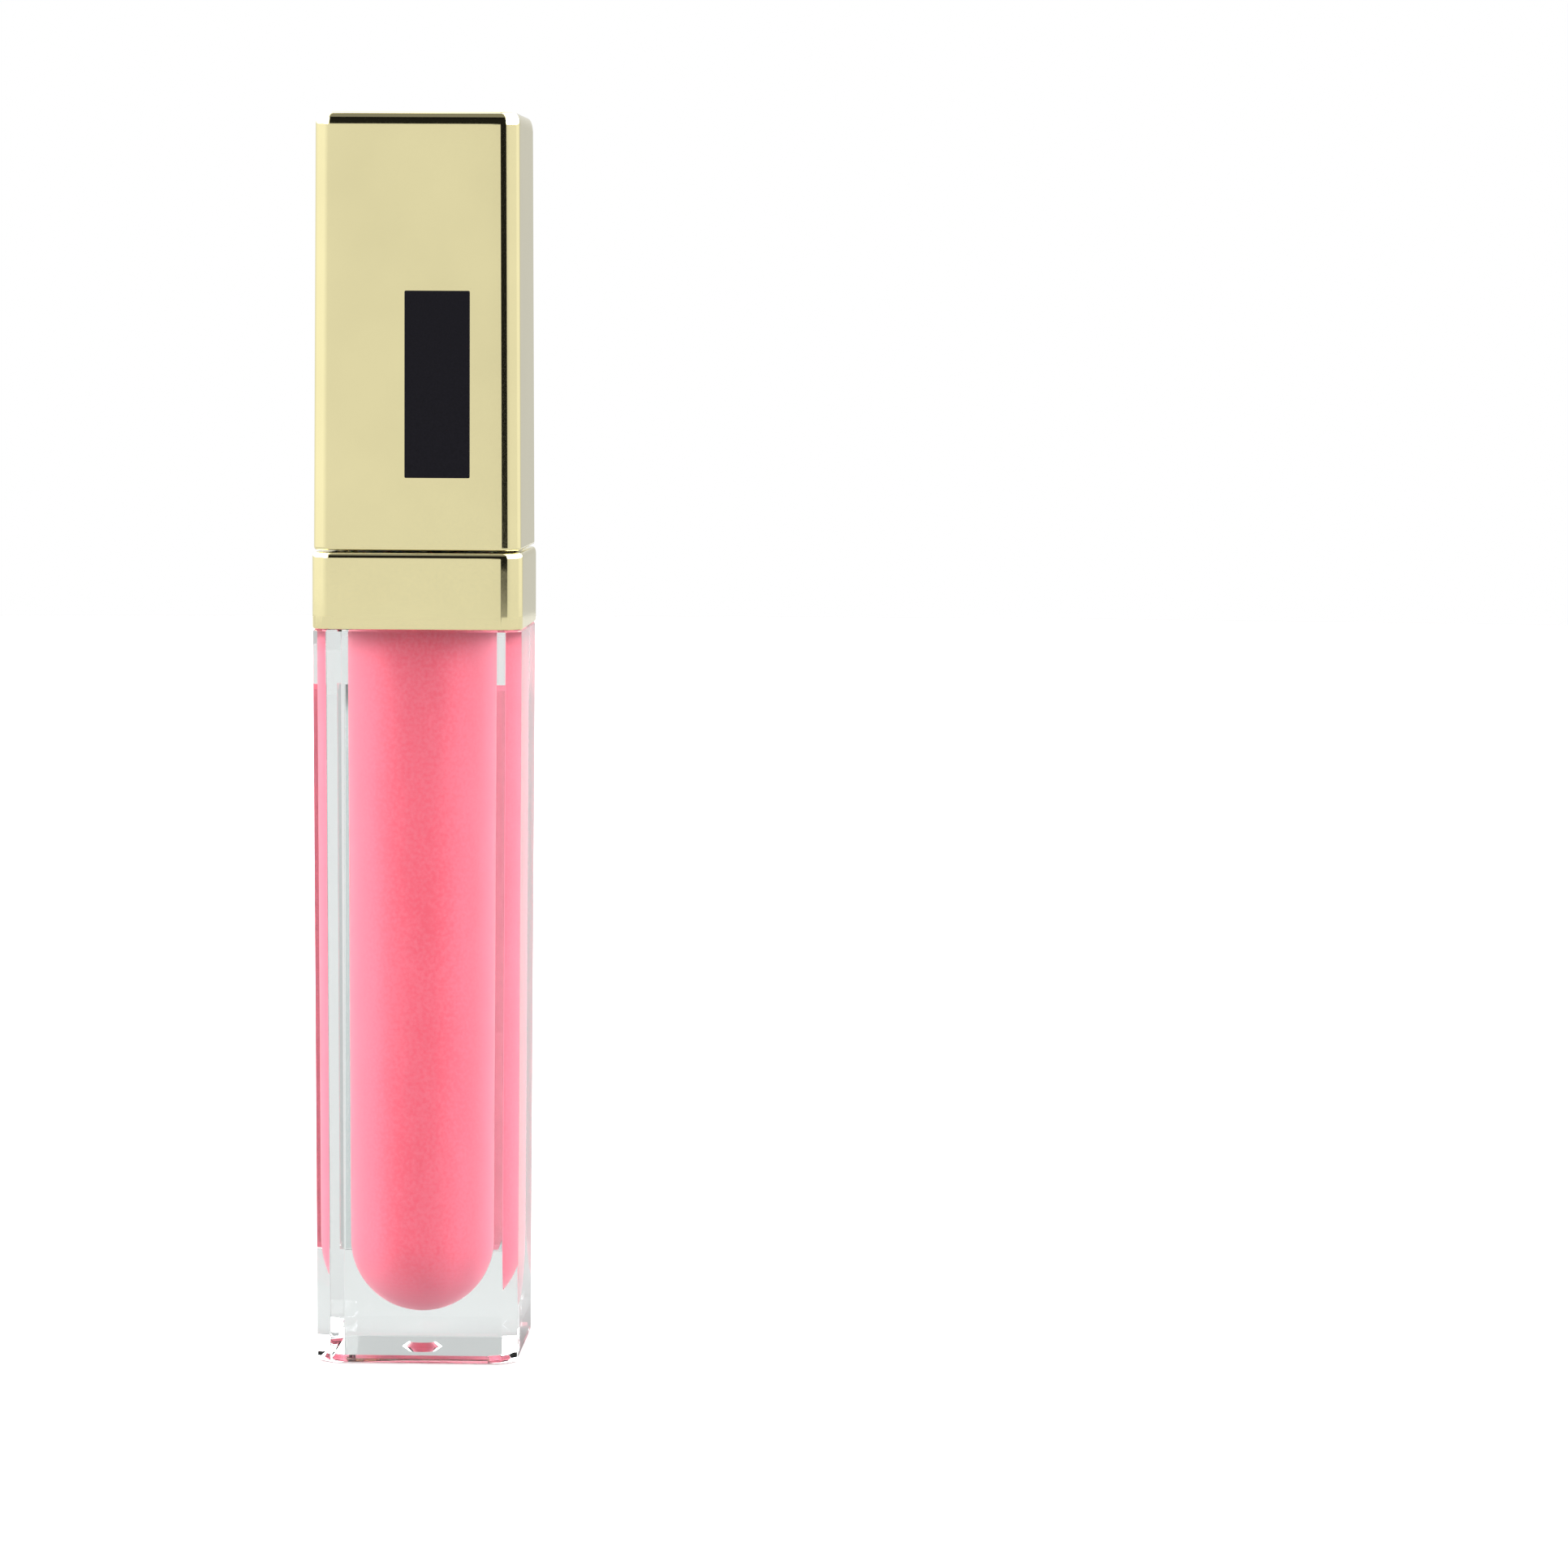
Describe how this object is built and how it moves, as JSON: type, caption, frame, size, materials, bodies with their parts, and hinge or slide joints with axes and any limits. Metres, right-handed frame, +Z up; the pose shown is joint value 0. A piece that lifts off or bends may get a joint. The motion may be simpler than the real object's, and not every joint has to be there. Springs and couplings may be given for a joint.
{
  "type": "lip gloss tube",
  "caption": "Square clear lip gloss bottle with a round-bottomed chamber, back mirror, gold collar and long gold screw cap holding a wand and a light.",
  "frame": {"origin": "centre of the base of the bottle, on the surface that the tube stands on", "axes": "+Z up along the tube, towards the top of the cap; -Y out of the front face, which carries the label; +Y out of the mirror"},
  "size_m": [0.0186, 0.0186, 0.11],
  "materials": {
    "clear_acrylic": "polished clear acrylic",
    "gloss": "pearly pink gloss",
    "mirror": "silvered, polished",
    "film": "grey adhesive film",
    "natural_plastic": "natural moulded plastic",
    "soft_plastic": "soft translucent plastic",
    "gold": "pale gold metallised, polished",
    "label_black": "satin black foil",
    "frosted_plastic": "frosted clear plastic",
    "white_plastic": "white moulded plastic",
    "contact_brass": "plated brass",
    "spring_steel": "nickel plated",
    "board_green": "solder mask",
    "led_lens": "phosphor lens",
    "resistor_black": "black glaze",
    "cell_steel": "pressed steel can",
    "flock": "nylon flock"
  },
  "bodies": {
    "bottle": {"bottle": "clear_acrylic", "gloss_fill": "gloss", "mirror_plate": "mirror", "mirror_adhesive": "film", "neck_insert": "natural_plastic", "wiper": "soft_plastic", "collar": "gold"},
    "plunger": {"switch_plunger": "white_plastic", "contact_ring": "contact_brass"},
    "spring_seat": {"return_spring": "spring_steel", "spring_washer": "spring_steel"},
    "cap": {"cap_shell": "gold", "label_panel": "label_black", "inner_cap": "frosted_plastic", "gasket": "soft_plastic", "wand_stem": "white_plastic", "applicator_core": "soft_plastic", "applicator_flock": "flock", "led_board": "board_green", "led_1": "led_lens", "led_2": "led_lens", "contact_leaf_1": "contact_brass", "contact_leaf_2": "contact_brass", "series_resistor": "resistor_black", "module_chassis": "white_plastic", "positive_contact": "contact_brass", "negative_contact": "contact_brass", "button_cell_1": "cell_steel", "button_cell_2": "cell_steel", "button_cell_3": "cell_steel", "chassis_lid": "white_plastic"}
  },
  "joints": [
    {"name": "pull_off", "type": "slide", "parent": "bottle", "child": "plunger", "axis": [0, 0, 1], "range_m": [0, 0.085]},
    {"name": "cap_lift", "type": "slide", "parent": "plunger", "child": "spring_seat", "axis": [0, 0, 1], "range_m": [0, 0.002], "deforming": ["return_spring"]},
    {"name": "cap_turn", "type": "hinge", "parent": "spring_seat", "child": "cap", "pos_m": [0, 0, 0.07186], "axis": [0, 0, 1], "range_deg": [0, 360]}
  ],
  "couplings": [
    {"joint": "cap_lift", "follows": "cap_turn", "m_per_rad": 0.00031831}
  ]
}
